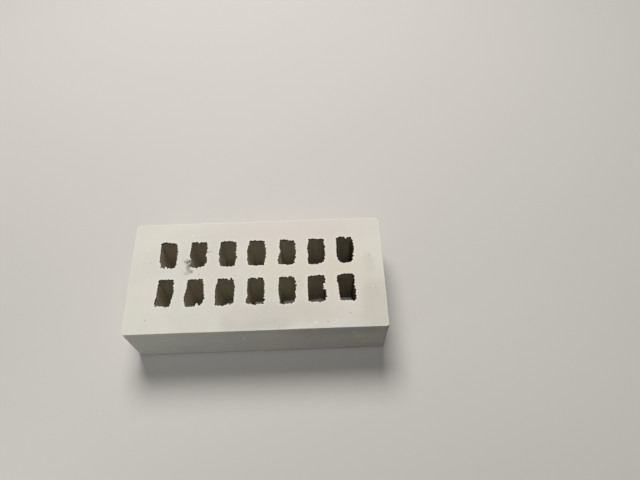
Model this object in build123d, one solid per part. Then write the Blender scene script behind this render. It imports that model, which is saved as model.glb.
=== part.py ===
from build123d import *
import os
from collections import namedtuple
from math import radians, tan

# A perforated facing brick, fired as one piece, lying on its bed face.
# Stiff clay was pushed up through a die with a bank of cores and cut across by a wire, so each hole
# runs straight through from bed face to bed face, and each has its own ragged outline.
# X is along the length, Y across the width with the far stretcher at +Y, and Z is up from the floor.
# All sizes are in millimetres.

# The brick as fired
length = 210
width = 100
height = 50
near_edge_radius = 2.2
far_edge_radius = 4.0
arris_radius = 0.6
least_end_shell = 20

# The bank of cores: two rows of slots, which sit a little off the middle of the brick
hole_width = 13.3
cross_web = 11.4
hole_length = 23.5
middle_web = 11.7
bank_shift_x = -0.6
bank_shift_y = 1.7
corner_turn = 0.7
bend_share = 0.35
least_turn = 2

# Burrs that the cutting wire left hanging in the mouths of the holes
burr_depth = 3.5
burr_root = 2.0

# One hole: how far its wall stands outside the core, in mm, at evenly spaced places along each side.
# The long sides, left and right, run from the far end to the near end. The ends, far and near, run
# from left to right.
Hole = namedtuple("Hole", "left right far near burrs", defaults=[()])

# One burr: the side of the hole it grows from, its place along that side from the hole's middle, its
# width at the wall and at its tip, and how far it reaches into the hole.
Burr = namedtuple("Burr", "side place width tip reach")

far_row = [
    Hole(left=(0.4, 0.3, 0.3, 0.3, 0.3, 0.3, 0.1, -1.0, -1.1),
         right=(-1.3, -0.5, 0.3, 0.6, 0.6, 0.5, 0.4, -0.2, -0.6),
         far=(0.3, 0.8, 0.5, 0.2, -0.2), near=(-0.2, -0.4, 0.0, 0.2, 0.1),
         burrs=[Burr("near", -1.2, 2.0, 0.8, 1.2)]),
    Hole(left=(-0.5, -0.5, -0.3, -0.2, 0.5, -0.6, -1.2, -1.1, -1.5),
         right=(-0.1, 0.5, 0.7, 0.6, -0.4, 0.2, 1.0, 0.6, -1.2),
         far=(0.0, 0.0, 0.0, -0.2, -0.6), near=(-0.2, 0.5, 0.4, -0.2, -0.5),
         burrs=[Burr("far", 0.4, 1.8, 0.8, 1.1)]),
    Hole(left=(-0.8, -0.4, -0.3, 0.2, 0.4, -0.1, 0.2, -0.5, -1.5),
         right=(-0.8, 0.2, 0.5, 0.5, 0.4, 1.0, 0.5, 0.2, -0.7),
         far=(-0.2, 0.0, 0.2, 0.1, -0.3), near=(-0.5, 0.3, 0.2, 0.1, 0.0),
         burrs=[Burr("right", 1.2, 2.0, 0.6, 0.7)]),
    Hole(left=(-0.3, -0.2, 0.9, 1.2, 1.2, 1.2, 1.2, 1.0, -0.2),
         right=(-1.0, -0.5, 0.3, 0.5, 0.9, 0.6, 0.4, 0.1, -0.8),
         far=(-0.2, -0.2, -0.3, -0.5, -0.5), near=(-0.2, -0.1, 0.6, -0.1, -0.1)),
    Hole(left=(-1.3, -1.3, -1.0, -1.3, -1.9, -0.8, -0.5, 0.2, -0.5),
         right=(0.2, 0.5, 0.7, 1.2, 1.4, 0.7, 0.7, 0.0, 0.0),
         far=(-0.3, -0.5, -0.7, -1.5, -1.2), near=(-0.3, -0.4, 0.4, 0.4, 0.0)),
    Hole(left=(-1.0, -0.8, -0.1, 0.2, 0.0, -0.5, -0.6, 0.0, -0.6),
         right=(0.6, 0.8, 0.8, 1.2, 0.6, 1.0, 0.8, 0.3, -0.5),
         far=(-0.5, -0.4, -0.5, -0.6, -0.8), near=(0.4, 0.7, 0.7, 0.4, -0.3),
         burrs=[Burr("right", 7.3, 2.2, 1.0, 1.0)]),
    Hole(left=(-0.2, 0.2, 0.2, 0.3, 0.4, 0.5, 0.1, -0.3, -1.5),
         right=(-0.9, -0.5, 0.1, 0.5, 0.8, 0.4, -0.1, -0.6, -1.3),
         far=(0.0, 0.6, 0.4, 0.2, 0.2), near=(-0.4, 0.7, 0.3, 0.0, -0.4),
         burrs=[Burr("far", 1.4, 2.4, 1.0, 1.2)]),
]

near_row = [
    Hole(left=(-1.0, -1.2, -0.8, -0.8, -0.5, -1.0, 0.3, 0.2, 0.0),
         right=(-0.6, -0.2, -0.3, 0.3, 0.4, 0.0, -0.6, -0.8, -1.4),
         far=(0.8, 0.9, 1.0, 0.9, 0.8), near=(-1.0, -1.1, -1.2, 0.1, -0.9)),
    Hole(left=(-0.5, 0.5, 0.0, 0.5, 1.2, 1.5, 1.7, 1.0, 0.7),
         right=(-1.0, -0.8, -0.2, -0.1, 0.0, 0.3, 0.8, 0.1, -1.2),
         far=(0.2, 0.3, 0.5, 0.5, 0.4), near=(0.0, 0.2, 0.2, 0.2, -0.4),
         burrs=[Burr("far", 1.1, 1.6, 0.5, 1.0), Burr("near", 2.3, 3.6, 0.8, 2.7)]),
    Hole(left=(0.2, 0.2, 1.3, 1.5, 1.5, 1.5, 1.4, 1.2, 1.1),
         right=(-1.4, -0.6, 0.3, 0.3, 0.0, 0.5, 0.2, 0.4, -1.2),
         far=(-0.2, 0.0, -0.1, -0.2, 0.5), near=(-0.2, 0.2, 0.2, -0.2, -0.3),
         burrs=[Burr("far", 2.5, 2.4, 1.0, 1.4), Burr("near", 2.5, 2.0, 0.9, 1.0)]),
    Hole(left=(-0.5, 0.2, 0.2, 0.4, 0.4, 0.2, -0.1, 1.2, 1.1),
         right=(-0.9, -0.2, -0.2, -0.1, -0.2, 0.1, -0.2, 0.1, -0.9),
         far=(-0.4, -0.2, -0.3, -0.2, -0.4), near=(-0.7, -0.5, 0.7, -0.3, 0.0),
         burrs=[Burr("far", 0.6, 1.8, 0.8, 1.2)]),
    Hole(left=(-1.3, -0.8, -0.5, -0.6, -0.7, -0.6, -1.0, -1.5, -1.3),
         right=(-0.8, 0.4, 0.7, 1.0, 0.8, 0.6, 0.6, 0.4, -1.2),
         far=(-0.3, -0.4, -0.3, 0.2, -0.2), near=(0.5, 0.6, 0.5, 0.5, 0.4),
         burrs=[Burr("far", 1.3, 1.8, 0.6, 0.9)]),
    Hole(left=(0.2, 0.5, 0.5, 0.6, 0.6, 0.5, 0.5, 0.3, -0.1),
         right=(-0.4, 0.3, 0.4, 0.7, 0.9, 1.0, 0.5, 0.8, -0.4),
         far=(-0.5, 0.0, 0.2, 0.6, 0.1), near=(-0.7, -0.2, -0.3, 0.2, -0.8),
         burrs=[Burr("right", 2.0, 6.4, 5.0, 2.1)]),
    Hole(left=(0.9, 1.1, 1.0, 0.0, 0.0, -0.1, -0.2, -0.8, -0.7),
         right=(-0.8, -0.3, -0.5, -0.8, -0.4, -0.2, 0.0, -0.2, -0.2),
         far=(-0.4, 0.6, 0.8, 0.7, 0.8), near=(-0.5, -0.5, -0.6, -0.7, -0.2)),
]

half_width = hole_width / 2
half_length = hole_length / 2
column_pitch = hole_width + cross_web
row_pitch = hole_length + middle_web
columns = int((length - 2 * least_end_shell + cross_web) // column_pitch)


def evenly(start, end, count):
    """Places from start to end, evenly spaced."""
    return [start + (end - start) * i / (count - 1) for i in range(count)]


def side_points(hole):
    """The points along each side of a hole, in order round it from its far left corner."""
    left_x = [-half_width - out for out in hole.left]
    right_x = [half_width + out for out in hole.right]
    far_y = [half_length + out for out in hole.far]
    near_y = [-half_length - out for out in hole.near]
    far_x = evenly(left_x[0] + corner_turn, right_x[0] - corner_turn, len(far_y))
    near_x = evenly(left_x[-1] + corner_turn, right_x[-1] - corner_turn, len(near_y))
    left_y = evenly(far_y[0] - corner_turn, near_y[0] + corner_turn, len(left_x))
    right_y = evenly(far_y[-1] - corner_turn, near_y[-1] + corner_turn, len(right_x))
    return {
        "far": list(zip(far_x, far_y)),
        "right": list(zip(right_x, right_y)),
        "near": list(zip(near_x, near_y))[::-1],
        "left": list(zip(left_x, left_y))[::-1],
    }


def bend_radius(before, point, after):
    """The widest arc that fits at a point of an outline, or 0 where the outline runs straight on."""
    arriving, leaving = Vector(*point) - Vector(*before), Vector(*after) - Vector(*point)
    turn = arriving.get_angle(leaving)
    if turn < least_turn:
        return 0
    return bend_share * min(arriving.length, leaving.length) / tan(radians(turn / 2))


def hole_cutter(hole):
    """The clay that one core kept out: runs and arcs by way of its side points, all through the brick."""
    points = [point for side in side_points(hole).values() for point in side]
    neighbours = zip(points[-1:] + points[:-1], points, points[1:] + points[:1])
    radii = [bend_radius(*three) for three in neighbours]
    return extrude(make_face(FilletPolyline(*points, radius=radii, close=True)), height)


def wall_distance(hole, burr):
    """How far from the hole's middle the wall lies where a burr grows."""
    along, across = (1, 0) if burr.side in ("left", "right") else (0, 1)
    points = sorted((point[along], abs(point[across])) for point in side_points(hole)[burr.side])
    for (start, near), (end, far) in zip(points, points[1:]):
        if burr.place <= end:
            break
    return near + (far - near) * (burr.place - start) / (end - start)


def burr_wedge(hole, burr):
    """A flake of clay that hangs into the mouth of a hole, rooted in its wall."""
    turn = {"right": 0, "far": 90, "left": 180, "near": 270}[burr.side]
    place = burr.place if turn in (0, 270) else -burr.place
    wall = wall_distance(hole, burr)
    half_root, half_tip = burr.width / 2, burr.tip / 2
    plan = Polyline(
        (wall + burr_root, place - half_root),
        (wall, place - half_root),
        (wall - burr.reach, place - half_tip),
        (wall - burr.reach, place + half_tip),
        (wall, place + half_root),
        (wall + burr_root, place + half_root),
        close=True,
    )
    return Pos(0, 0, height - burr_depth) * Rot(0, 0, turn) * extrude(make_face(plan), burr_depth)


def bank():
    """Each hole of the bank with its middle, column by column in both rows."""
    for row_y, row in ((row_pitch / 2, far_row), (-row_pitch / 2, near_row)):
        for column in range(columns):
            x = (column - (columns - 1) / 2) * column_pitch
            yield Pos(bank_shift_x + x, bank_shift_y + row_y, 0), row[column % len(row)]


def blank():
    """The brick before its holes: upright edges rounded by the die, arrises softened by firing."""
    body = extrude(Rectangle(length, width), height)
    body = fillet(body.edges().filter_by(Axis.Z).sort_by(Axis.Y)[:2], near_edge_radius)
    body = fillet(body.edges().filter_by(Axis.Z).sort_by(Axis.Y)[-2:], far_edge_radius)
    rims = body.faces().sort_by(Axis.Z)[0].edges() + body.faces().sort_by(Axis.Z)[-1].edges()
    return fillet(rims, arris_radius)


def make_brick():
    brick = blank() - [place * hole_cutter(hole) for place, hole in bank()]
    burrs = [place * burr_wedge(hole, burr) for place, hole in bank() for burr in hole.burrs]
    return brick + burrs


brick = make_brick()
os.makedirs("parts", exist_ok=True)
export_step(brick, "parts/brick.step")
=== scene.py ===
from collections import namedtuple
from math import cos, hypot, radians, sin

import bmesh
import bpy
import numpy as np
from mathutils import Euler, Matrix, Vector, noise
from mathutils.geometry import delaunay_2d_cdt


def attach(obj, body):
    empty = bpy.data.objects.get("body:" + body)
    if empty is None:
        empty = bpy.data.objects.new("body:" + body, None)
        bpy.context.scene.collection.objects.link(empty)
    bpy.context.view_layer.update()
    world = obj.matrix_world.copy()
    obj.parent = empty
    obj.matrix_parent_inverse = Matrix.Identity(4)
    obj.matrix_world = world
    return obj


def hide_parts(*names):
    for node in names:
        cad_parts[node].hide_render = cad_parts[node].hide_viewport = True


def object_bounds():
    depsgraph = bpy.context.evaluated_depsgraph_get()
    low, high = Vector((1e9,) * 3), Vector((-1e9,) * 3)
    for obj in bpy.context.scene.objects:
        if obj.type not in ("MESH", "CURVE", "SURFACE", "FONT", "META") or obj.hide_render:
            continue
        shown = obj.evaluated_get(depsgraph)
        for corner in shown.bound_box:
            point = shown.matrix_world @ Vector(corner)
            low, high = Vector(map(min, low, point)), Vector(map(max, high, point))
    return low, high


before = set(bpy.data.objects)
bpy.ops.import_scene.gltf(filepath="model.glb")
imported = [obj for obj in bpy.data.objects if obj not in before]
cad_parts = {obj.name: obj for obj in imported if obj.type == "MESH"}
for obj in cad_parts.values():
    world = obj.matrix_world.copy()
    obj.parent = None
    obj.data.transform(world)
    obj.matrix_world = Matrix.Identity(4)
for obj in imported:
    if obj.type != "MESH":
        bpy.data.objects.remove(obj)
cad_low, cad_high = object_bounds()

# The looks of one perforated facing brick, in metres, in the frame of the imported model.
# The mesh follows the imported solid: its box, and the outlines of its holes at both bed faces.
MM = 0.001
SEED = 7

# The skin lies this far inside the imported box, so that its relief never leaves it
SIDE_INSET = 0.10 * MM
FACE_INSET = 0.22 * MM
TOP_Z = cad_high.z - FACE_INSET
LOW_Z = cad_low.z + FACE_INSET

# The upright edges, by side, and the arrises round the bed faces. Turns are in degrees.
NEAR_RADIUS = 2.2 * MM
FAR_RADIUS = 4.0 * MM
CORNER_TURNS = range(0, 91, 15)
ARRIS_RADIUS = 0.38 * MM
ARRIS_TURNS = (0, 22, 45, 68, 90)
# The arrises are lighter: partly wear and partly a painted highlight
ARRIS_WEAR_AND_HIGHLIGHT = 0.35
NICK_DEPTH = 0.4 * MM
NICK_COMES = (0.50, 0.75)

# Mesh density. The jitter and the clearance of a bed face's grid are shares of its step.
HOLE_STEP = 0.50 * MM
RIM_STEP = 1.5 * MM
SIDE_LEVEL_STEP = 2.0 * MM
FACE_STEP = 2.1 * MM
FACE_JITTER = 0.3
FACE_CLEARANCE = 0.45
MOUTH_DEPTHS = [d * MM for d in (0.12, 0.35, 0.8, 1.4, 2.2, 3.2, 4.6, 6.6, 9.4, 13.0, 17.5, 22.0)]
LEAST_POINTS = 8
BATCH = 500

# Rows of points on a bed face beside each mouth: distance, share of the lip's height, and wear with a
# painted highlight
LIP_ROWS = ((0.35 * MM, 1.0, 1.0), (1.15 * MM, 0.35, 0.15))

# Rows of points on a bed face beside its arris: distance, and wear with a painted highlight
ARRIS_ROWS = ((0.45 * MM, 0.25), (1.3 * MM, 0.0))

# The torn edge of a mouth. Its teeth are smaller on the left, and its cusps smaller than its bites.
# The skew makes small teeth commoner. The last two tear back right edges, and the far row's near edges.
TOOTH_REACH = (0.15 * MM, 1.05 * MM)
TOOTH_WIDTH = (0.7 * MM, 2.2 * MM)
TOOTH_SKEW = 1.2
CUSP_SHARE = 0.8
LEFT_TEETH = 0.6
TEETH_GROW_FROM = -0.2
RIGHT_TEAR = 0.45 * MM
NEAR_TEAR = 0.40 * MM

# The wall of a hole: depths below a bed face between which something comes or goes, and sizes
BURR_LENGTH = 4.0 * MM
BURR_THINS = (0.8 * MM, BURR_LENGTH)
LEAST_BURR = 0.06 * MM
BURR_SLACK = 0.05 * MM
TEAR_ENDS = (0.3 * MM, 2.6 * MM)
LUMPS_COME = (1.0 * MM, 6.0 * MM)
UNDERCUT_COMES = (0.3 * MM, 1.3 * MM)
UNDERCUT_GOES = (2.2 * MM, 6.0 * MM)
UPPER_UNDERCUT = 0.8 * MM
LOWER_UNDERCUT = 0.2 * MM
MOUTH_STREAKS = 0.3
MOUTH_RADIUS = 0.22 * MM
# Depths over which the mouths' lighter wear and painted highlight fade out
MOUTH_WEAR_AND_HIGHLIGHT_ENDS = (0.1 * MM, 0.5 * MM)
FACE_RELIEF_ENDS = (0, 4 * MM)
SHADE_REACH = 3

# The lip that the wire pulled up along a mouth. The mouth's own rim has a share of its height.
LEAST_LIP = 0.07 * MM
LIP_RISE = 0.11 * MM
LIP_COMES = (-0.2, 0.6)
RIM_LIP = 0.6

# Guards against rounding: vertices this near are one, a length that counts as none, and the
# tolerance of the triangulation
WELD = 1e-6
NOTHING = 1e-12
CAP_TOLERANCE = 1e-9

# Relief as smooth noise: the size of its lumps, its height, its seed, and how much of each coordinate
# counts. Less than 1 draws the lumps out along that axis. The lower bed face takes the next seed.
Wave = namedtuple("Wave", "size height seed along", defaults=[(1, 1, 1)])
WALL_STREAKS = (Wave(1.1 * MM, 0.22 * MM, 3, (1, 1, 0.10)), Wave(2.8 * MM, 0.35 * MM, 4, (1, 1, 0.15)))
WALL_LUMPS = Wave(7 * MM, 0.40 * MM, 5, (1, 1, 0.6))
WALL_PITS = Wave(1.6 * MM, 0.35 * MM, 6)
FACE_HOLLOWS = Wave(34 * MM, 0.06 * MM, 11)
WIRE_DRAG = Wave(1.6 * MM, 0.018 * MM, 13, (0.12, 1, 1))
FACE_GRAIN = Wave(2.4 * MM, 0.012 * MM, 15)
SIDE_SWELLS = Wave(30 * MM, 0.09 * MM, 21)
SIDE_STREAKS = Wave(2.2 * MM, 0.025 * MM, 22, (1, 1, 0.06))
LIP_WAVER = Wave(3.5 * MM, 1, 31)
MOUTH_WAVER = Wave(2 * MM, 0.10 * MM, 41)
ARRIS_WAVER = Wave(9 * MM, 0.5 * ARRIS_RADIUS, 51)
NICK_WAVER = Wave(3.4 * MM, 1, 53)
SEED_SHIFT = (17.3, -9.1, 5.7)


def smooth(low, high, value):
    """0 below low, 1 above high, and a soft step between."""
    t = min(1.0, max(0.0, (value - low) / (high - low)))
    return t * t * (3 - 2 * t)


def wave(kind, x, y, z=0, top=True):
    """A wave's relief at a place, between about plus and minus its height."""
    seed = kind.seed if top else kind.seed + 1
    drawn = [v * share / kind.size for v, share in zip((x, y, z), kind.along)]
    moved = [v + seed * shift for v, shift in zip(drawn, SEED_SHIFT)]
    return kind.height * noise.noise(Vector(moved))


# Outlines


def rims(node, z):
    """The closed outlines round a node's flat face at height z, longest first, as arrays of x and y."""
    work = bmesh.new()
    work.from_mesh(node.data)
    bmesh.ops.remove_doubles(work, verts=work.verts, dist=WELD)
    flat = {f for f in work.faces if all(abs(v.co.z - z) < WELD for v in f.verts)}
    links = {}
    for edge in work.edges:
        if sum(face in flat for face in edge.link_faces) == 1:
            for vert in edge.verts:
                links.setdefault(vert, []).append(edge.other_vert(vert))
    loops = []
    while links:
        here = next(iter(links))
        loop, before = [], None
        while here in links:
            loop.append((here.co.x, here.co.y))
            ahead = [v for v in links.pop(here) if v is not before]
            before, here = here, ahead[0]
        loops.append(counter_clockwise(np.array(loop)))
    work.free()
    return sorted(loops, key=lambda p: -perimeter(p))


def counter_clockwise(points):
    """The outline in counter-clockwise order, whichever way it ran."""
    ahead = np.roll(points, -1, axis=0)
    area = np.sum(points[:, 0] * ahead[:, 1] - points[:, 1] * ahead[:, 0])
    return points if area > 0 else points[::-1].copy()


def perimeter(points):
    """The length of a closed outline."""
    return np.linalg.norm(np.roll(points, -1, axis=0) - points, axis=1).sum()


def evenly(points, step):
    """The closed outline again, with points a step apart."""
    closed = np.vstack([points, points[:1]])
    along = np.concatenate([[0], np.cumsum(np.linalg.norm(np.diff(closed, axis=0), axis=1))])
    count = max(LEAST_POINTS, round(along[-1] / step))
    places = np.linspace(0, along[-1], count, endpoint=False)
    return np.column_stack([np.interp(places, along, closed[:, i]) for i in (0, 1)])


def outward(points, reach=2):
    """Unit normals that point away from the middle of a counter-clockwise outline."""
    tangent = np.roll(points, -reach, axis=0) - np.roll(points, reach, axis=0)
    tangent /= np.linalg.norm(tangent, axis=1)[:, None]
    return np.column_stack([tangent[:, 1], -tangent[:, 0]])


def reach_inwards(points, normals, loop, most):
    """How far inside each point another outline passes, against the normal, and 0 where they agree."""
    span = np.roll(loop, -1, axis=0) - loop
    found = np.zeros(len(points))
    for i, (p, n) in enumerate(zip(points, -normals)):
        cross = n[0] * span[:, 1] - n[1] * span[:, 0]
        cross = np.where(abs(cross) < NOTHING, NOTHING, cross)
        gap = loop - p
        distance = (gap[:, 0] * span[:, 1] - gap[:, 1] * span[:, 0]) / cross
        share = (gap[:, 0] * n[1] - gap[:, 1] * n[0]) / cross
        hits = distance[(share >= 0) & (share <= 1) & (distance > -BURR_SLACK) & (distance < most)]
        found[i] = hits.min() if len(hits) else 0
    return np.where(found < LEAST_BURR, 0, found)


def inside(points, loop):
    """Which points lie inside a closed outline."""
    x, y = points[:, 0][:, None], points[:, 1][:, None]
    a, b = loop, np.roll(loop, -1, axis=0)
    rise = b[:, 1] - a[:, 1]
    rise = np.where(rise == 0, NOTHING, rise)
    spans = (a[:, 1] > y) != (b[:, 1] > y)
    crossed = spans & (x < (b[:, 0] - a[:, 0]) * (y - a[:, 1]) / rise + a[:, 0])
    return crossed.sum(axis=1) % 2 == 1


# Relief


def torn_edge(normals, far_row, rng):
    """How far each point of a mouth's torn edge stands back: bites and cusps by turns."""
    least, most = TOOTH_REACH
    places, heights, at = [], [], 0.0
    while at < len(normals):
        places.append(at)
        reach = least + (most - least) * rng.random() ** TOOTH_SKEW
        heights.append(reach if len(places) % 2 else -CUSP_SHARE * reach)
        at += rng.uniform(*TOOTH_WIDTH) / HOLE_STEP
    line = np.interp(range(len(normals)), places + [len(normals)], heights + heights[:1])
    line *= LEFT_TEETH + (1 - LEFT_TEETH) * np.clip(normals[:, 0] - TEETH_GROW_FROM, 0, 1)
    line += RIGHT_TEAR * np.clip(normals[:, 0], 0, 1) ** 2
    return line + NEAR_TEAR * np.clip(-normals[:, 1], 0, 1) ** 2 * far_row


def wall_relief(x, y, z, depth, torn, top):
    """How far the wall of a hole stands back into the clay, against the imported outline."""
    mouth = 1 - smooth(*TEAR_ENDS, depth)
    deep = smooth(*LUMPS_COME, depth)
    undercut = UPPER_UNDERCUT if top else LOWER_UNDERCUT
    undercut *= smooth(*UNDERCUT_COMES, depth) * (1 - smooth(*UNDERCUT_GOES, depth))
    streaks = sum(wave(kind, x, y, z) for kind in WALL_STREAKS)
    streaks *= MOUTH_STREAKS + (1 - MOUTH_STREAKS) * deep
    lumps = wave(WALL_LUMPS, x, y, z) + abs(wave(WALL_PITS, x, y, z))
    return torn * mouth + undercut + streaks + lumps * deep


def face_relief(x, y, top):
    """How far a bed face stands above its plane: slow hollows, drag lines of the wire and fine grain."""
    return sum(wave(kind, x, y, top=top) for kind in (FACE_HOLLOWS, WIRE_DRAG, FACE_GRAIN))


def side_relief(x, y, z):
    """How far a side stands out from its plane: slow swells, and streaks up the extruded faces."""
    return wave(SIDE_SWELLS, x, y, z) + wave(SIDE_STREAKS, x, y, z)


def mouth_offset(depth, radius):
    """How far a rounded mouth opens at a depth below the face."""
    if depth >= radius:
        return 0.0
    return radius - (radius ** 2 - (radius - depth) ** 2) ** 0.5


def lip_height(x, y, top):
    """The height of the ragged lip along a mouth."""
    return LEAST_LIP + LIP_RISE * smooth(*LIP_COMES, wave(LIP_WAVER, x, y, top=top))


def face_height(x, y, top):
    """The height of a bed face with its relief."""
    relief = face_relief(x, y, top)
    return TOP_Z + relief if top else LOW_Z - relief


def arris_place(x, y, turn, top):
    """How far an arris stands back from the side, and its height, where it has turned by an angle."""
    nick = smooth(*NICK_COMES, wave(NICK_WAVER, x, y, top=top))
    radius = ARRIS_RADIUS + wave(ARRIS_WAVER, x, y, top=top) + NICK_DEPTH * nick
    drop = radius * (1 - cos(turn))
    return radius * (1 - sin(turn)), face_height(x, y, top) - (drop if top else -drop)


# The mesh


class Skin:
    """Vertices, faces and the attributes of each vertex, gathered piece by piece."""

    def __init__(self):
        self.verts, self.faces = [], []
        self.worn, self.depth, self.shade = [], [], []

    def vertex(self, x, y, z, worn, depth=0.0, shade=0.0):
        self.verts.append((x, y, z))
        self.worn.append(worn)
        self.depth.append(depth)
        self.shade.append(shade)

    def ring(self, points, heights, worn, depth=0.0, shade=None):
        """A closed row of vertices. Returns their numbers."""
        first = len(self.verts)
        for i, ((x, y), z, w) in enumerate(zip(points, heights, worn)):
            self.vertex(x, y, z, w, depth, 0.0 if shade is None else shade[i])
        return list(range(first, len(self.verts)))

    def strip(self, upper, lower, flip):
        """Quads between two rings with as many points, facing away from the middle unless flipped."""
        for i in range(len(upper)):
            j = (i + 1) % len(upper)
            quad = (lower[i], lower[j], upper[j], upper[i])
            self.faces.append(quad[::-1] if flip else quad)

    def sheath(self, rings, flip):
        """Strips from ring to ring, from the top down."""
        for above, below in zip(rings, rings[1:]):
            self.strip(above, below, flip)

    def outline(self, ring):
        """The plan of a ring."""
        return np.array([self.verts[i][:2] for i in ring])

    def cap(self, rings, spots, top):
        """A bed face: triangles between its outline, the mouths after it, and spots on it."""
        used = [i for ring in rings for i in ring]
        first = len(self.verts)
        for (x, y), z, worn in spots:
            self.vertex(x, y, z, worn)
        used += range(first, len(self.verts))
        edges, at = [], 0
        for ring in rings:
            edges += [(at + i, at + (i + 1) % len(ring)) for i in range(len(ring))]
            at += len(ring)
        flat = [Vector(self.verts[i][:2]) for i in used]
        corners, _, triangles, sources, _, _ = delaunay_2d_cdt(flat, edges, [], 0, CAP_TOLERANCE)
        kept = self.on_clay([[corners[i] for i in tri] for tri in triangles], rings)
        for tri, keep in zip(triangles, kept):
            if keep:
                face = tuple(used[sources[i][0]] for i in tri)
                self.faces.append(face if top else face[::-1])

    def on_clay(self, triangles, rings):
        """Which triangles lie within the first ring and outside the others."""
        middles = np.array([[sum(corner[k] for corner in tri) / 3 for k in (0, 1)] for tri in triangles])
        keep = inside(middles, self.outline(rings[0]))
        for ring in rings[1:]:
            loop = self.outline(ring)
            low, high = loop.min(axis=0), loop.max(axis=0)
            near = ((middles > low) & (middles < high)).all(axis=1)
            keep[near] &= ~inside(middles[near], loop)
        return keep


def right_wall_shade(normals):
    """How much each point belongs to the right wall of its hole, softened along the outline: the mask of
    the painted shade on those walls.
    """
    right = np.clip(normals[:, 0], 0, 1)
    shifts = range(-SHADE_REACH, SHADE_REACH + 1)
    return sum(np.roll(right, i) for i in shifts) / len(shifts)


def wall_point(point, normal, z, burr, torn):
    """The place and the height of one point of a hole's wall."""
    x, y = point
    top = z > (TOP_Z + LOW_Z) / 2
    depth = min(TOP_Z - z, z - LOW_Z)
    back = wall_relief(x, y, z, depth, torn, top)
    back += mouth_offset(depth, MOUTH_RADIUS + wave(MOUTH_WAVER, x, y))
    if burr:
        back -= burr * (1 - smooth(*BURR_THINS, TOP_Z - z))
    rise = face_relief(x, y, top) * (1 - smooth(*FACE_RELIEF_ENDS, depth))
    if depth < WELD:
        rise += lip_height(x, y, top) * RIM_LIP
    return point + normal * back, z + (rise if top else -rise)


def make_hole(skin, lower, upper, rng):
    """One hole's wall from mouth to mouth. Returns its upper and its lower ring."""
    points = evenly(lower, HOLE_STEP)
    normals = outward(points)
    burrs = reach_inwards(points, normals, upper, BURR_LENGTH)
    far_row = points[:, 1].mean() > 0
    shade = right_wall_shade(normals)
    upper_tears = torn_edge(normals, far_row, rng)
    lower_tears = torn_edge(normals, far_row, rng)
    upper_levels = [TOP_Z] + [TOP_Z - d for d in MOUTH_DEPTHS]
    lower_levels = [LOW_Z + d for d in MOUTH_DEPTHS[::-1]] + [LOW_Z]
    levels = [(z, upper_tears) for z in upper_levels] + [(z, lower_tears) for z in lower_levels]
    rings = []
    for z, tears in levels:
        spots = [wall_point(p, n, z, b, t) for p, n, b, t in zip(points, normals, burrs, tears)]
        depth = min(TOP_Z - z, z - LOW_Z)
        worn = [1 - smooth(*MOUTH_WEAR_AND_HIGHLIGHT_ENDS, depth)] * len(points)
        rings.append(skin.ring(*zip(*spots), worn, depth, shade))
    skin.sheath(rings, flip=True)
    return rings[0], rings[-1]


def rounded_rectangle(low, high, step):
    """The brick's plan: points a step apart, closer round its four corners."""
    points = []
    corners = ((high.x, high.y, 0), (low.x, high.y, 90), (low.x, low.y, 180), (high.x, low.y, 270))
    for x, y, start in corners:
        radius = FAR_RADIUS if y > 0 else NEAR_RADIUS
        cx = x - radius if x > 0 else x + radius
        cy = y - radius if y > 0 else y + radius
        for turn in CORNER_TURNS:
            angle = radians(start + turn)
            points.append((cx + radius * cos(angle), cy + radius * sin(angle)))
    filled = []
    for a, b in zip(points, points[1:] + points[:1]):
        count = max(1, round(hypot(b[0] - a[0], b[1] - a[1]) / step))
        for i in range(count):
            filled.append((a[0] + (b[0] - a[0]) * i / count, a[1] + (b[1] - a[1]) * i / count))
    return np.array(filled)


def side_ring(skin, points, normals, places, edge_wear_and_highlight):
    """A ring round the sides. Each place says how far its point stands back, and its height."""
    placed, heights = [], []
    for p, n, (back, z) in zip(points, normals, places):
        placed.append(p + n * (side_relief(*p, z) - back))
        heights.append(z)
    return skin.ring(placed, heights, [edge_wear_and_highlight] * len(points))


def make_sides(skin):
    """The four sides with their rounded arrises. Returns the rings round the bed faces."""
    inset = Vector((SIDE_INSET, SIDE_INSET, 0))
    points = rounded_rectangle(cad_low + inset, cad_high - inset, RIM_STEP)
    normals = outward(points, 1)
    turns = [radians(turn) for turn in ARRIS_TURNS]
    upper = [[arris_place(x, y, turn, True) for x, y in points] for turn in turns]
    lower = [[arris_place(x, y, turn, False) for x, y in points] for turn in turns[::-1]]
    count = round((TOP_Z - LOW_Z) / SIDE_LEVEL_STEP)
    between = [TOP_Z - (TOP_Z - LOW_Z) * i / count for i in range(1, count)]
    rings = [side_ring(skin, points, normals, places, ARRIS_WEAR_AND_HIGHLIGHT) for places in upper]
    rings += [side_ring(skin, points, normals, [(0.0, z)] * len(points), 0.0) for z in between]
    rings += [side_ring(skin, points, normals, places, ARRIS_WEAR_AND_HIGHLIGHT) for places in lower]
    skin.sheath(rings, flip=False)
    return rings[0], rings[-1]


def border_points(edge, mouths, top):
    """Points on a bed face along its mouths and its arris, each with its height and its wear with a
    painted highlight.
    """
    spots = []
    for mouth in mouths:
        normals = outward(mouth)
        for offset, lip_share, edge_wear_and_highlight in LIP_ROWS:
            for x, y in mouth + normals * offset:
                lip = lip_height(x, y, top) * lip_share
                spots.append(((x, y), face_height(x, y, top) + (lip if top else -lip), edge_wear_and_highlight))
    for offset, edge_wear_and_highlight in ARRIS_ROWS:
        for x, y in edge - outward(edge, 1) * offset:
            spots.append(((x, y), face_height(x, y, top), edge_wear_and_highlight))
    return spots


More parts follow.
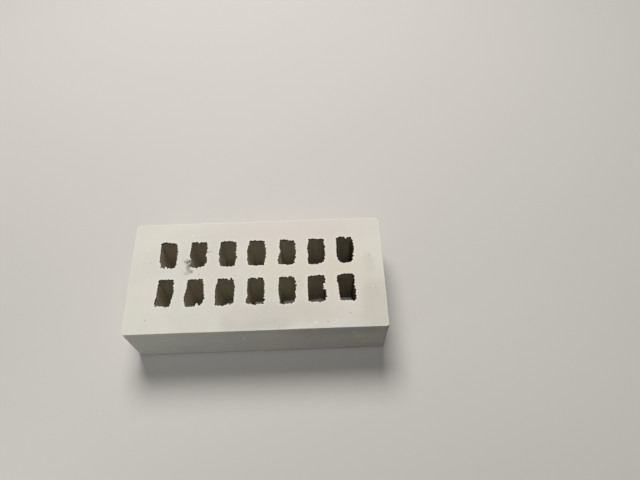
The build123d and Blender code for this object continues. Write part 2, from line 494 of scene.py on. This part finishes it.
def grid_points(edge, mouths, taken, rng):
    """A jittered grid over a bed face, clear of its mouths and of the points that are taken."""
    low, high = edge.min(axis=0), edge.max(axis=0)
    xs = np.arange(low[0] + FACE_STEP / 2, high[0], FACE_STEP)
    ys = np.arange(low[1] + FACE_STEP / 2, high[1], FACE_STEP)
    grid = np.array([(x, y) for x in xs for y in ys])
    grid += rng.uniform(-FACE_JITTER, FACE_JITTER, grid.shape) * FACE_STEP
    free = inside(grid, edge)
    for mouth in mouths:
        free &= ~inside(grid, mouth)
    for start in range(0, len(grid), BATCH):
        part = grid[start:start + BATCH]
        gaps = np.linalg.norm(part[:, None] - taken[None], axis=2).min(axis=1)
        free[start:start + BATCH] &= gaps > FACE_CLEARANCE * FACE_STEP
    return grid[free]


def make_face(skin, rings, top):
    """A bed face between its outline and the mouths after it."""
    edge, *mouths = [skin.outline(ring) for ring in rings]
    spots = border_points(edge, mouths, top)
    border = np.array([place for place, _, _ in spots])
    clear = np.ones(len(border), bool)
    for mouth in mouths:
        clear &= ~inside(border, mouth)
    spots = [spot for spot, c in zip(spots, clear) if c]
    taken = np.vstack([edge] + mouths + [border])
    rng = np.random.default_rng(SEED + top)
    spots += [((x, y), face_height(x, y, top), 0.0) for x, y in grid_points(edge, mouths, taken, rng)]
    skin.cap(rings, spots, top)


def make_brick():
    """The fired brick as one closed mesh."""
    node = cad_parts["brick"]
    lower_rims = rims(node, cad_low.z)[1:]
    upper_rims = rims(node, cad_high.z)[1:]
    skin = Skin()
    top_ring, low_ring = make_sides(skin)
    top_rings, low_rings = [top_ring], [low_ring]
    rng = np.random.default_rng(SEED)
    for lower in lower_rims:
        middle = lower.mean(axis=0)
        upper = min(upper_rims, key=lambda rim: np.linalg.norm(rim.mean(axis=0) - middle))
        top_ring, low_ring = make_hole(skin, lower, upper, rng)
        top_rings.append(top_ring)
        low_rings.append(low_ring)
    make_face(skin, top_rings, True)
    make_face(skin, low_rings, False)
    mesh = bpy.data.meshes.new("fired_brick")
    mesh.from_pydata(skin.verts, [], skin.faces)
    for name, values in (("worn", skin.worn), ("depth", skin.depth), ("shade", skin.shade)):
        layer = mesh.attributes.new(name, "FLOAT", "POINT")
        layer.data.foreach_set("value", np.array(values, np.float32))
    mesh.shade_smooth()
    brick = bpy.data.objects.new("fired_brick", mesh)
    bpy.context.scene.collection.objects.link(brick)
    return brick


# Material


class Nodes:
    """Short calls for the nodes of one material or of the world."""

    def __init__(self, tree):
        self.tree = tree
        self.tree.nodes.clear()
        self.place = self.add("ShaderNodeTexCoord").outputs["Object"]

    def add(self, kind, **settings):
        node = self.tree.nodes.new(kind)
        for key, value in settings.items():
            setattr(node, key, value)
        return node

    def feed(self, socket, value):
        """Links an output to a socket, or sets the socket to a constant."""
        if isinstance(value, bpy.types.NodeSocket):
            self.tree.links.new(value, socket)
        elif isinstance(value, tuple) and socket.type == "RGBA":
            socket.default_value = (*value, 1.0)
        else:
            socket.default_value = value

    def axes(self):
        """The object's own x, y and z."""
        node = self.add("ShaderNodeSeparateXYZ")
        self.feed(node.inputs["Vector"], self.place)
        return node.outputs

    def noise(self, scale, detail, roughness=0.5, along=None, output="Fac"):
        """Noise over the object's coordinates, drawn out where less than 1 of a coordinate counts."""
        node = self.add("ShaderNodeTexNoise")
        place = self.vector_math("MULTIPLY", self.place, along) if along else self.place
        names = ("Scale", "Detail", "Roughness", "Vector")
        for name, value in zip(names, (scale, detail, roughness, place)):
            self.feed(node.inputs[name], value)
        return node.outputs[output]

    def ramp(self, source, low, high, start=0.0, end=1.0):
        """A soft step from start to end while the source goes from low to high."""
        node = self.add("ShaderNodeMapRange", interpolation_type="SMOOTHSTEP")
        names = ("Value", "From Min", "From Max", "To Min", "To Max")
        for name, value in zip(names, (source, low, high, start, end)):
            self.feed(node.inputs[name], value)
        return node.outputs["Result"]

    def math(self, operation, *values):
        node = self.add("ShaderNodeMath", operation=operation)
        for socket, value in zip(node.inputs, values):
            self.feed(socket, value)
        return node.outputs["Value"]

    def multiply(self, product, *factors):
        for factor in factors:
            product = self.math("MULTIPLY", product, factor)
        return product

    def vector_math(self, operation, *values, output="Vector"):
        node = self.add("ShaderNodeVectorMath", operation=operation)
        for socket, value in zip(node.inputs, values):
            self.feed(socket, value)
        return node.outputs[output]

    def mix(self, share, a, b):
        """Colour a with a share of colour b."""
        node = self.add("ShaderNodeMix", data_type="RGBA")
        for socket, value in zip([s for s in node.inputs if s.enabled], (share, a, b)):
            self.feed(socket, value)
        return [s for s in node.outputs if s.enabled][0]

    def attribute(self, name):
        return self.add("ShaderNodeAttribute", attribute_name=name).outputs["Fac"]


def new_material(name):
    """A new material and its nodes."""
    material = bpy.data.materials.new(name)
    material.use_nodes = True
    return material, Nodes(material.node_tree)


# Colours of the clay in the open, of its patches and marks, of its worn edges, which carry a painted
# highlight too, and of its holes, which are painted shade
CREAM_LIGHT = (0.722, 0.702, 0.628)
CREAM_DARK = (0.682, 0.664, 0.598)
PINKISH = (0.702, 0.640, 0.585)
YELLOWISH = (0.708, 0.658, 0.558)
GREYED = (0.600, 0.572, 0.505)
# A greyed tone for the painted shade below the near arris
ARRIS_SHADE = (0.560, 0.545, 0.515)
DRAB = (0.590, 0.550, 0.465)
OLIVE = (0.800, 0.760, 0.600)
SOOT = (0.090, 0.078, 0.062)
SPECK = (0.300, 0.270, 0.225)
SMOKE = (0.410, 0.375, 0.315)
PALE = (0.840, 0.820, 0.760)
# The lighter colour of worn edges, which is partly a painted highlight
WORN_AND_HIGHLIGHT = (0.840, 0.812, 0.740)
# The holes' wall colours are painted shade: darker, browner clay, darker just below the mouths than deep
# down
DEEP_WALL_SHADE = (0.622, 0.576, 0.462)
SHALLOW_WALL_SHADE = (0.560, 0.517, 0.410)
# Painted shade on the walls of the holes towards the right end
RIGHT_END_SHADE = (0.380, 0.320, 0.220)
# A near black for painted shade on the right walls and in the band below the upper mouths
PAINTED_SHADE = (0.060, 0.048, 0.030)

# Heights just below the upper bed face, and the near side, in mm as the spots below
TOP = cad_high.z / MM - 0.2
NEAR = cad_low.y / MM

# Soft patches, each with its place and its reach to each side in mm, its colour and its strength
TINTS = [
    ((30, 42, TOP), (92, 24, 9), PINKISH, 0.7),
    ((-28, 0, TOP), (24, 38, 9), PINKISH, 0.7),
    ((50, 0, TOP), (66, 38, 9), YELLOWISH, 0.75),
    ((8, 12, TOP), (24, 20, 9), YELLOWISH, 0.4),
    ((52, -34, TOP), (66, 18, 9), PINKISH, 0.6),
    ((22, -36, TOP), (62, 15, 9), GREYED, 0.5),
    ((99, -36, TOP), (22, 40, 9), DRAB, 0.55),
    ((2, -46, TOP), (36, 9, 9), GREYED, 0.65),
    ((-22, -42, TOP), (7, 9, 9), GREYED, 0.45),
    ((3, -44, TOP), (8, 3, 9), GREYED, 0.5),
    ((93, -22, TOP), (9, 13, 9), GREYED, 0.5),
    ((94, 6, TOP), (7, 12, 9), GREYED, 0.4),
    ((92, -36, TOP), (7, 5, 9), GREYED, 0.4),
    ((28, -14, TOP), (16, 15, 9), GREYED, 0.3),
    ((66, -54, 22), (84, 12, 34), YELLOWISH, 0.7),
    ((80, -42, TOP), (12, 8, 9), GREYED, 0.25),
]

# The marks are listed in the same way. First the sooty smudge beside the second hole.
SMUDGE = [
    ((-58.0, 12.6, TOP), (4.0, 3.6, 3), SMOKE, 0.75),
    ((-57.2, 7.4, TOP), (2.8, 5.0, 3), SMOKE, 0.95),
    ((-56.6, 8.6, TOP), (1.8, 2.6, 3), SOOT, 0.35),
    ((-55.0, 3.4, TOP), (3.4, 2.6, 3), SMOKE, 0.85),
    ((-54.4, 3.3, TOP), (1.3, 1.1, 3), SOOT, 0.35),
    ((-58.4, 1.8, TOP), (3.0, 2.4, 3), SMOKE, 0.5),
    ((-56.4, 13.0, TOP), (1.4, 1.6, 3), SOOT, 1.0),
    ((-58.3, 11.9, TOP), (1.3, 1.4, 3), SOOT, 0.9),
    ((-55.5, 9.4, TOP), (1.3, 2.2, 3), SOOT, 0.9),
    ((-60.7, 12.8, TOP), (1.1, 1.2, 3), SOOT, 0.35),
]

# The scratch, and the dark and the pale specks of the upper bed face
TOP_MARKS = [
    ((-41.6, 21.0, TOP), (1.5, 0.7, 3), SOOT, 0.6),
    ((-39.2, 21.6, TOP), (1.8, 0.5, 3), SOOT, 0.4),
    ((-48.0, 0.3, TOP), (0.7, 0.9, 3), SPECK, 0.9),
    ((-87.6, -38.2, TOP), (0.7, 0.7, 3), SPECK, 0.9),
    ((93.7, 13.6, TOP), (0.7, 0.7, 3), SPECK, 0.8),
    ((75.0, -37.8, TOP), (0.7, 0.7, 3), SPECK, 0.8),
    ((57.3, -44.5, TOP), (0.9, 0.7, 3), SPECK, 0.9),
    ((-89.6, 3.9, TOP), (0.6, 0.6, 3), SPECK, 0.5),
    ((-46.5, -34.1, TOP), (0.6, 0.6, 3), SPECK, 0.5),
    ((-26.2, -43.5, TOP), (0.8, 0.6, 3), SPECK, 0.5),
    ((-8.7, -30.6, TOP), (0.7, 0.7, 3), SPECK, 0.45),
    ((11.9, -15.1, TOP), (0.6, 0.6, 3), SPECK, 0.4),
    ((-34.5, 19.2, TOP), (0.8, 0.6, 3), SPECK, 0.4),
    ((-92.1, 25.3, TOP), (1.0, 1.0, 3), PALE, 0.8),
    ((-97.0, 19.1, TOP), (0.9, 0.9, 3), PALE, 0.8),
    ((-102.0, 37.4, TOP), (1.0, 1.2, 3), PALE, 0.8),
    ((-55.8, 37.3, TOP), (1.2, 1.0, 3), PALE, 0.8),
    ((94.6, -15.3, TOP), (1.0, 1.0, 3), PALE, 0.8),
    ((44.0, -47.0, TOP), (1.1, 0.9, 3), PALE, 1.0),
    ((47.5, -44.6, TOP), (2.2, 1.8, 3), PALE, 0.6),
    ((63.7, -43.4, TOP), (0.9, 0.9, 3), PALE, 0.9),
]

# The near side: a greyer band below its arris, which is painted shade, pale scuffs, stains, and a paler
# foot, which is painted light
NEAR_MARKS = [
    # Painted shade: a greyer band just below the upper arris
    ((68.0, NEAR, 46.0), (66, 1.3, 17), ARRIS_SHADE, 0.7),
    ((-73.3, NEAR, 23.2), (1.4, 3, 3.0), PALE, 0.7),
    ((-71.4, NEAR, 14.5), (1.0, 3, 9.0), PALE, 0.65),
    ((-65.7, NEAR, 26.6), (6.5, 3, 1.7), PALE, 0.5),
    ((-75.4, NEAR, 34.3), (5.0, 3, 1.6), PALE, 0.4),
    ((-68.4, NEAR, 37.8), (6.0, 3, 1.6), PALE, 0.4),
    ((-63.5, NEAR, 44.7), (3.5, 3, 1.1), PALE, 0.35),
    ((-39.7, NEAR, 44.3), (3.2, 3, 1.2), PALE, 0.45),
    ((-38.8, NEAR, 30.3), (2.2, 3, 1.4), PALE, 0.4),
    ((-28.5, NEAR, 27.1), (6.0, 3, 2.6), PALE, 0.55),
    ((-13.2, NEAR, 42.0), (1.3, 3, 4.5), PALE, 0.5),
    ((-11.0, NEAR, 33.0), (1.5, 3, 8.0), PALE, 0.6),
    ((14.1, NEAR, 40.2), (3.2, 3, 3.2), PALE, 0.3),
    ((21.1, NEAR, 27.5), (0.8, 3, 1.8), PALE, 0.5),
    ((39.7, NEAR, 30.0), (3.2, 3, 3.2), SPECK, 0.12),
    ((46.6, NEAR, 43.1), (4.5, 3, 1.8), PALE, 0.45),
    ((51.6, NEAR, 29.9), (1.4, 3, 1.4), SPECK, 0.45),
    ((63.0, NEAR, 20.8), (5.0, 3, 2.0), PALE, 0.45),
    ((87.3, NEAR, 15.2), (4.5, 3, 5.0), OLIVE, 0.8),
    ((91.6, NEAR, 24.5), (3.4, 3, 3.2), OLIVE, 0.35),
    ((82.2, NEAR, 29.8), (5.5, 3, 8.0), CREAM_LIGHT, 0.6),
    ((82.2, NEAR, 29.8), (4.5, 3, 6.5), PALE, 0.3),
    ((77.7, NEAR, 38.7), (3.0, 3, 3.4), PALE, 0.45),
    ((60.5, NEAR, 25.3), (1.2, 3, 1.6), SPECK, 0.35),
    ((56.0, NEAR, 15.2), (1.2, 3, 2.6), SPECK, 0.22),
    ((60.0, NEAR, 33.0), (14.0, 3, 3.0), YELLOWISH, 0.5),
    # Painted light: a paler foot along the whole near side, which lifts the shade of its lower part
    ((0.0, NEAR - 1, 0.0), (125, 3, 26), PALE, 0.35),
]

# The shares of its reach at which a spot has gone, and within which it is whole
BLOT_FALLS = (1.0, 0.35)

# Noises of the clay: scale, detail and roughness. With each goes its ramp, its share, or how much of
# each coordinate counts.
CLOUDS, CLOUD_RAMP = (22, 4, 0.55), (0.35, 0.65)
PATCHES, PATCH_RAMP = (75, 4, 0.6), (0.45, 0.75, 0.0, 0.2)
WEAR_AND_HIGHLIGHT_NOISE, WEAR_AND_HIGHLIGHT_RAMP = (500, 3), (0.35, 0.65, 0.4, 1.0)
GRAIN, GRAIN_SHARE = (1500, 2, 0.6), 0.5
DRAG, DRAG_ALONG = (400, 2, 0.6), (0.1, 1.0, 1.0)

# How marks get natural edges: the scale of the noise that shakes them, its detail, and how far
WIDE_SHAKE = (45, 3, 16 * MM)
FINE_SHAKE = (900, 3, 1 * MM)

# Scattered specks: size, share of the scatter's cells that have one, and seed. A seed moves the scatter.
DARK_SPECKS = (1.1 * MM, 0.10, 3.1)
PALE_SPECKS = (1.4 * MM, 0.12, 8.3)
SPECK_STRENGTH = 0.5
CELL_SHARE = 0.16
SPECK_FALLS = (0.10, 0.05)
SPECK_CHOICE = 0.02
SCATTER_SHIFT = (1, 0.7, 0.3)

# The clay of the holes' walls, by depth below a bed face or by place. All of its darkening is painted
# shade. The walls are darker and browner than the open clay, and darker just below the mouths than deep
# down, which evens out the shade along the depth. They are darker still towards the right end, most on
# the right walls of the holes there, and in a band below the upper mouths.
WALL_COMES = (0.4 * MM, 1.2 * MM)
WALL_DEEPENS = (4 * MM, 18 * MM)
# Where the walls darken towards the right end, as painted shade
RIGHT_END_SHADE_ALONG = (35 * MM, 85 * MM, 0.1, 0.5)
RIGHT_END_SHADE_ACROSS = (-10 * MM, 10 * MM, 1.0, 0.6)
# Painted shade on the right walls: by the shade mask, by depth and along the brick
RIGHT_WALL = (0.3, 0.95, 0.0, 0.92)
RIGHT_WALL_COMES = (0.4 * MM, 1.5 * MM)
RIGHT_WALL_ALONG = (40 * MM, 66 * MM)
# Painted shade in a band just below the upper mouths: the depths where it comes and goes, the heights
# above which it shows, and its strength
BAND_COMES = (0.2 * MM, 0.6 * MM)
BAND_GOES = (3.6 * MM, 2.0 * MM)
BAND_ABOVE = (30 * MM, 40 * MM)
BAND_STRENGTH = 0.9

CLAY_ROUGHNESS = 0.88
CLAY_SPECULAR = 0.25
BUMP_STRENGTH = 0.25
BUMP_DISTANCE = 0.12 * MM


def shaken(n, scale, detail, amount):
    """The object's coordinates, shaken by noise."""
    centred = n.vector_math("SUBTRACT", n.noise(scale, detail, output="Color"), (0.5, 0.5, 0.5))
    return n.vector_math("MULTIPLY_ADD", centred, (amount, amount, amount), n.place)


def blot(n, coordinates, place, reach):
    """1 at a place, falling softly to 0 at its reach."""
    away = n.vector_math("SUBTRACT", coordinates, tuple(v * MM for v in place))
    share = n.vector_math("DIVIDE", away, tuple(v * MM for v in reach))
    return n.ramp(n.vector_math("LENGTH", share, output="Value"), *BLOT_FALLS)


def painted(n, colour, coordinates, spots):
    """A colour with soft spots over it."""
    for place, reach, tint, strength in spots:
        colour = n.mix(n.multiply(blot(n, coordinates, place, reach), strength), colour, tint)
    return colour


def specks(n, size, share, seed):
    """Sparse dots: their strength inside a dot, for a share of the cells of a regular scatter."""
    moved = n.vector_math("ADD", n.place, tuple(seed * v for v in SCATTER_SHIFT))
    cell = n.add("ShaderNodeTexVoronoi")
    n.feed(cell.inputs["Scale"], CELL_SHARE / size)
    n.feed(cell.inputs["Vector"], moved)
    chosen = n.add("ShaderNodeSeparateColor")
    n.feed(chosen.inputs["Color"], cell.outputs["Color"])
    dot = n.ramp(cell.outputs["Distance"], *SPECK_FALLS)
    return n.multiply(dot, n.ramp(chosen.outputs["Red"], share, share - SPECK_CHOICE), SPECK_STRENGTH)


def open_colour(n):
    """The clay in the open: clouded cream with soft patches and sparse specks."""
    colour = n.mix(n.ramp(n.noise(*CLOUDS), *CLOUD_RAMP), CREAM_DARK, CREAM_LIGHT)
    colour = n.mix(n.ramp(n.noise(*PATCHES), *PATCH_RAMP), colour, PINKISH)
    colour = painted(n, colour, shaken(n, *WIDE_SHAKE), TINTS)
    colour = n.mix(specks(n, *DARK_SPECKS), colour, SPECK)
    return n.mix(specks(n, *PALE_SPECKS), colour, PALE)


def wall_colour(n, colour):
    """The same clay, browner and darker down the holes as painted shade, lighter deep down than near the
    mouths, and with more painted shade towards the right end, on the right walls there and in a band
    below the upper mouths.
    """
    x, y, z = n.axes()
    depth = n.attribute("depth")
    # Painted shade: the walls are darker than the open clay, and lighter deep down to even out the shade
    wall = n.mix(n.ramp(depth, *WALL_DEEPENS), SHALLOW_WALL_SHADE, DEEP_WALL_SHADE)
    # Painted shade: the walls darken towards the right end
    wall = n.mix(n.multiply(n.ramp(x, *RIGHT_END_SHADE_ALONG), n.ramp(y, *RIGHT_END_SHADE_ACROSS)), wall, RIGHT_END_SHADE)
    colour = n.mix(n.ramp(depth, *WALL_COMES), colour, wall)
    # Painted shade on the right walls of the holes at the right end
    right = n.multiply(n.ramp(n.attribute("shade"), *RIGHT_WALL), n.ramp(depth, *RIGHT_WALL_COMES))
    colour = n.mix(n.multiply(right, n.ramp(x, *RIGHT_WALL_ALONG)), colour, PAINTED_SHADE)
    # Painted shade in a band just below the upper mouths
    band_shade = n.multiply(n.ramp(depth, *BAND_COMES), n.ramp(depth, *BAND_GOES), n.ramp(z, *BAND_ABOVE))
    return n.mix(n.multiply(band_shade, BAND_STRENGTH), colour, PAINTED_SHADE)


def clay_bump(n):
    """Grain and the wire's drag lines, too fine for the mesh."""
    rise = n.math("ADD", n.multiply(n.noise(*GRAIN), GRAIN_SHARE), n.noise(*DRAG, DRAG_ALONG))
    bump = n.add("ShaderNodeBump")
    n.feed(bump.inputs["Strength"], BUMP_STRENGTH)
    n.feed(bump.inputs["Distance"], BUMP_DISTANCE)
    n.feed(bump.inputs["Height"], rise)
    return bump.outputs["Normal"]


def fired_clay():
    """The brick's material."""
    material, n = new_material("fired_clay")
    colour = wall_colour(n, open_colour(n))
    # Worn edges and lips, lighter as wear and as a painted highlight
    worn = n.multiply(n.attribute("worn"), n.ramp(n.noise(*WEAR_AND_HIGHLIGHT_NOISE), *WEAR_AND_HIGHLIGHT_RAMP))
    colour = n.mix(worn, colour, WORN_AND_HIGHLIGHT)
    colour = painted(n, colour, shaken(n, *FINE_SHAKE), SMUDGE + TOP_MARKS + NEAR_MARKS)
    shader = n.add("ShaderNodeBsdfPrincipled")
    n.feed(shader.inputs["Roughness"], CLAY_ROUGHNESS)
    n.feed(shader.inputs["Specular IOR Level"], CLAY_SPECULAR)
    n.feed(shader.inputs["Base Color"], colour)
    n.feed(shader.inputs["Normal"], clay_bump(n))
    output = n.add("ShaderNodeOutputMaterial")
    n.feed(output.inputs["Surface"], shader.outputs["BSDF"])
    return material


# Stage, light and camera

# The camera: its place and nearest seen distance in metres, its angles in degrees, its sensor in mm
CAMERA_PLACE = (0.0498, -0.1993, 0.4547)
CAMERA_DOWN = 60.562
CAMERA_TURN = 0.815
CAMERA_ROLL = -1.258
FOCAL_PIXELS = 546.04
FRAME_WIDTH = 640
SENSOR = 36.0
NEAREST_SEEN = 0.01

# The floor and the backdrop, which the floor fades into between two distances from the brick's middle
FLOOR_HALF = 3.0
FLOOR_ROUGHNESS = 0.9
FLOOR_SEEN = (0.63, 0.61, 0.575)
FLOOR_BOUNCE = (0.20, 0.195, 0.185)
FLOOR_FADES = (0.40, 0.95)
BACKDROP_SEEN = (0.52, 0.505, 0.48)
WORLD_LIGHT = (0.0475, 0.0485, 0.050)

# Soft round lamps: energy in watts, size and place in metres, colour, spread in degrees, and aim.
# A small spread keeps a lamp's light off the floor.
Lamp = namedtuple("Lamp", "energy size place colour spread aim", defaults=[180, (0, 0, 0)])
LAMPS = {
    "key": Lamp(18.0, 0.75, (-0.12, 0.75, 1.25), (1.0, 0.985, 0.96)),
    "fill": Lamp(0.058, 0.14, (-0.40, -0.30, 0.08), (0.965, 0.98, 0.99), 60, (-0.03, -0.05, 0.03)),
    "right": Lamp(0.006, 0.14, (0.42, -0.16, 0.08), (1.0, 0.96, 0.90), 60, (0.06, -0.02, 0.03)),
    "above": Lamp(3.4, 0.4, (0.06, -0.12, 1.5), (1.0, 1.0, 1.0)),
}


def make_camera():
    """The photo's view of the brick."""
    data = bpy.data.cameras.new("camera")
    data.sensor_width = SENSOR
    data.lens = FOCAL_PIXELS / FRAME_WIDTH * SENSOR
    data.clip_start = NEAREST_SEEN
    camera = bpy.data.objects.new("camera", data)
    camera.location = CAMERA_PLACE
    look = Euler((radians(90 - CAMERA_DOWN), 0, radians(-CAMERA_TURN)), "XYZ").to_matrix()
    roll = Euler((0, 0, radians(CAMERA_ROLL)), "XYZ").to_matrix()
    camera.rotation_euler = (look @ roll).to_euler()
    bpy.context.scene.collection.objects.link(camera)
    bpy.context.scene.camera = camera


def seen_rays(n):
    """1 for rays that show the stage, also in gloss and through glass, and 0 for those that light it."""
    path = n.add("ShaderNodeLightPath")
    seen = n.math("MAXIMUM", path.outputs["Is Camera Ray"], path.outputs["Is Glossy Ray"])
    return n.math("MAXIMUM", seen, path.outputs["Is Transmission Ray"])


def floor_material():
    """Pale to the eye, darker to the light that it throws back, and one with the backdrop far off."""
    material, n = new_material("floor")
    seen = seen_rays(n)
    shader = n.add("ShaderNodeBsdfPrincipled")
    n.feed(shader.inputs["Roughness"], FLOOR_ROUGHNESS)
    n.feed(shader.inputs["Base Color"], n.mix(seen, FLOOR_BOUNCE, FLOOR_SEEN))
    glow = n.add("ShaderNodeEmission")
    n.feed(glow.inputs["Color"], BACKDROP_SEEN)
    away = n.vector_math("LENGTH", n.place, output="Value")
    fade = n.add("ShaderNodeMixShader")
    far_off = n.multiply(seen, n.ramp(away, *FLOOR_FADES))
    for socket, value in zip(fade.inputs, (far_off, shader.outputs["BSDF"], glow.outputs["Emission"])):
        n.feed(socket, value)
    output = n.add("ShaderNodeOutputMaterial")
    n.feed(output.inputs["Surface"], fade.outputs["Shader"])
    return material


def make_floor():
    """A plain level floor."""
    half = FLOOR_HALF
    corners = [(-half, -half, 0), (half, -half, 0), (half, half, 0), (-half, half, 0)]
    mesh = bpy.data.meshes.new("floor")
    mesh.from_pydata(corners, [], [(0, 1, 2, 3)])
    mesh.materials.append(floor_material())
    floor = bpy.data.objects.new("floor", mesh)
    bpy.context.scene.collection.objects.link(floor)


def make_lamp(name, lamp):
    """One lamp of the list."""
    light = bpy.data.lights.new(name, "AREA")
    light.energy = lamp.energy
    light.shape = "DISK"
    light.size = lamp.size
    light.color = lamp.colour
    light.spread = radians(lamp.spread)
    thing = bpy.data.objects.new(name, light)
    thing.location = lamp.place
    thing.rotation_euler = (Vector(lamp.aim) - Vector(lamp.place)).to_track_quat("-Z", "Y").to_euler()
    bpy.context.scene.collection.objects.link(thing)


def make_world():
    """Weak even light from all round, which shows as the pale backdrop."""
    world = bpy.data.worlds.new("studio")
    world.use_nodes = True
    n = Nodes(world.node_tree)
    background = n.add("ShaderNodeBackground")
    n.feed(background.inputs["Color"], n.mix(seen_rays(n), WORLD_LIGHT, BACKDROP_SEEN))
    output = n.add("ShaderNodeOutputWorld")
    n.feed(output.inputs["Surface"], background.outputs["Background"])
    bpy.context.scene.world = world


brick = make_brick()
brick.data.materials.append(fired_clay())
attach(brick, "root")
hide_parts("brick")
make_floor()
for lamp_name, lamp in LAMPS.items():
    make_lamp(lamp_name, lamp)
make_world()
make_camera()
bpy.context.scene.view_settings.view_transform = "Standard"
